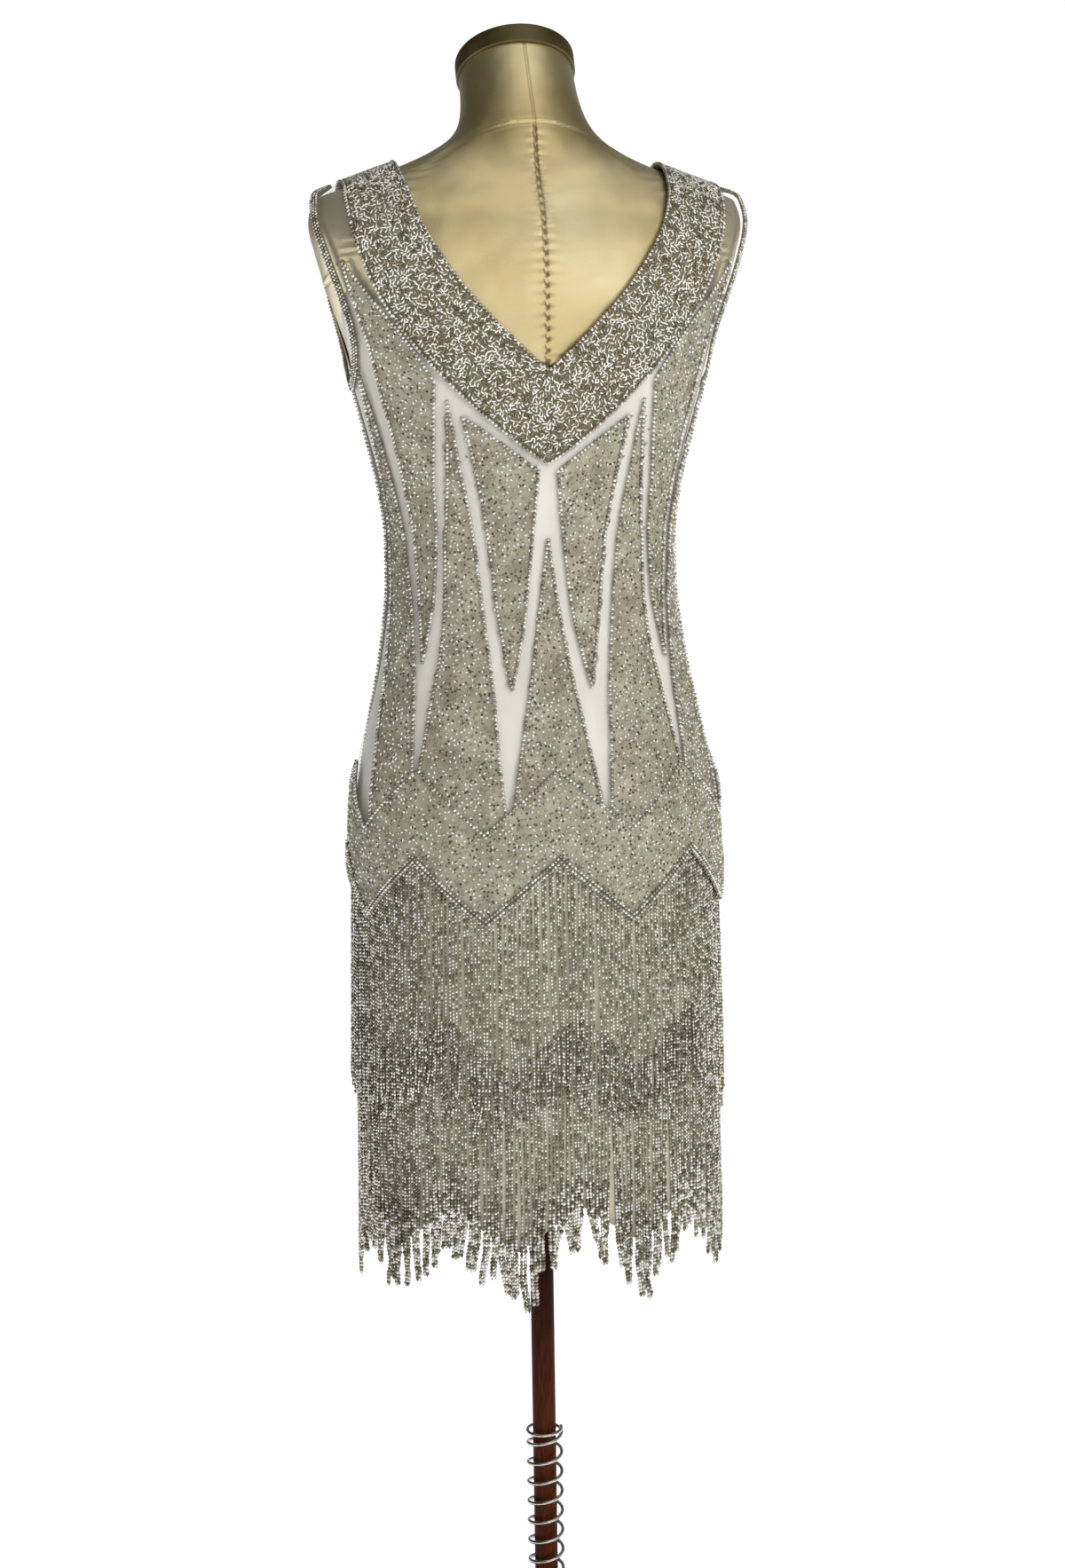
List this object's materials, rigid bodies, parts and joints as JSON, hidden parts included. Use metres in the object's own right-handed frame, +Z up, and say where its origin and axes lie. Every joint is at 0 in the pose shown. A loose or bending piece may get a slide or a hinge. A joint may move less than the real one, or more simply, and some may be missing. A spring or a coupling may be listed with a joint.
{
  "type": "beaded fringe dress on a dress form",
  "caption": "Sleeveless evening dress with V-shaped bead bands, zigzag hem and fringe tiers, worn on a gold dress form with neck cap, lacquered pole, spring and round base",
  "frame": {"origin": "centre of the round base, on the floor", "axes": "+Z up along the pole; -Y out of the dress's back, +Y out of its front, +X to the wearer's right side"},
  "size_m": [0.382, 0.33, 1.5411],
  "materials": {
    "champagne_net": "fine champagne net, beaded all over in the scene",
    "ivory_lining": "smooth ivory lining with a soft sheen",
    "silver_beads": "densely sewn silver-gold glass beads",
    "gold_vinyl": "satin gold leatherette",
    "bronze_cap": "satin dark bronze",
    "pole_wood": "glossy red-brown lacquer",
    "chrome_metal": "polished",
    "base_iron": "dark semi-gloss paint"
  },
  "bodies": {
    "root": {"lining": "ivory_lining", "bodice_back": "champagne_net", "bodice_front": "champagne_net", "skirt_back": "champagne_net", "skirt_front": "champagne_net", "neck_band_back": "silver_beads", "neck_band_front": "silver_beads", "armhole_trim_left": "silver_beads", "armhole_trim_right": "silver_beads", "hem_rope_back": "silver_beads", "hem_rope_front": "silver_beads", "fringe_upper": "silver_beads", "fringe_lower": "silver_beads", "form_torso": "gold_vinyl", "form_neck_cap": "bronze_cap", "stand_socket": "chrome_metal", "stand_pole": "pole_wood", "stand_spring": "chrome_metal", "stand_base": "base_iron"}
  },
  "joints": []
}
